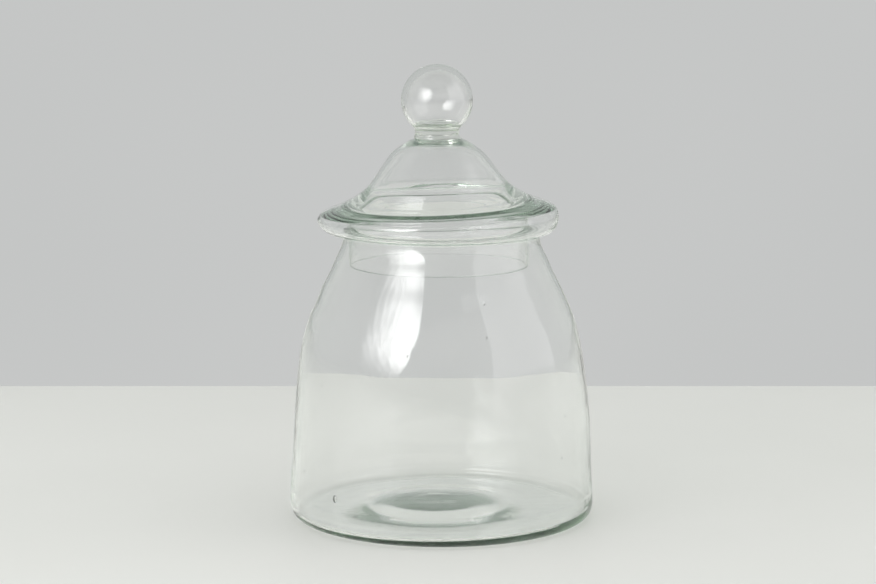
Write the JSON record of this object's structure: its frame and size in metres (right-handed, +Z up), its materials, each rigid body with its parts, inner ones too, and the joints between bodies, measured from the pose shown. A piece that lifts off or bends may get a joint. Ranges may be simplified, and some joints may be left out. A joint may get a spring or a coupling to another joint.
{
  "type": "specimen jar",
  "caption": "Free-standing blown-glass jar with a wide flat base, sloping shoulders and a short neck, closed by a lift-off domed lid with a rolled brim, plug collar and ball knob.",
  "frame": {"origin": "centre of the jar's foot ring, in the plane it stands on", "axes": "+Z up along the jar's axis, through the lid and its knob; +X to the right and -Y towards the front"},
  "size_m": [0.1582, 0.1582, 0.2355],
  "materials": {
    "body_glass": "polished",
    "lid_glass": "polished",
    "knob_glass": "polished"
  },
  "bodies": {
    "jar": {"jar_body": "body_glass"},
    "lid": {"lid_shell": "lid_glass", "lid_knob": "knob_glass"}
  },
  "joints": [
    {"name": "lid_lift", "type": "slide", "parent": "jar", "child": "lid", "axis": [0, 0, 1], "range_m": [0, 0.03]}
  ]
}
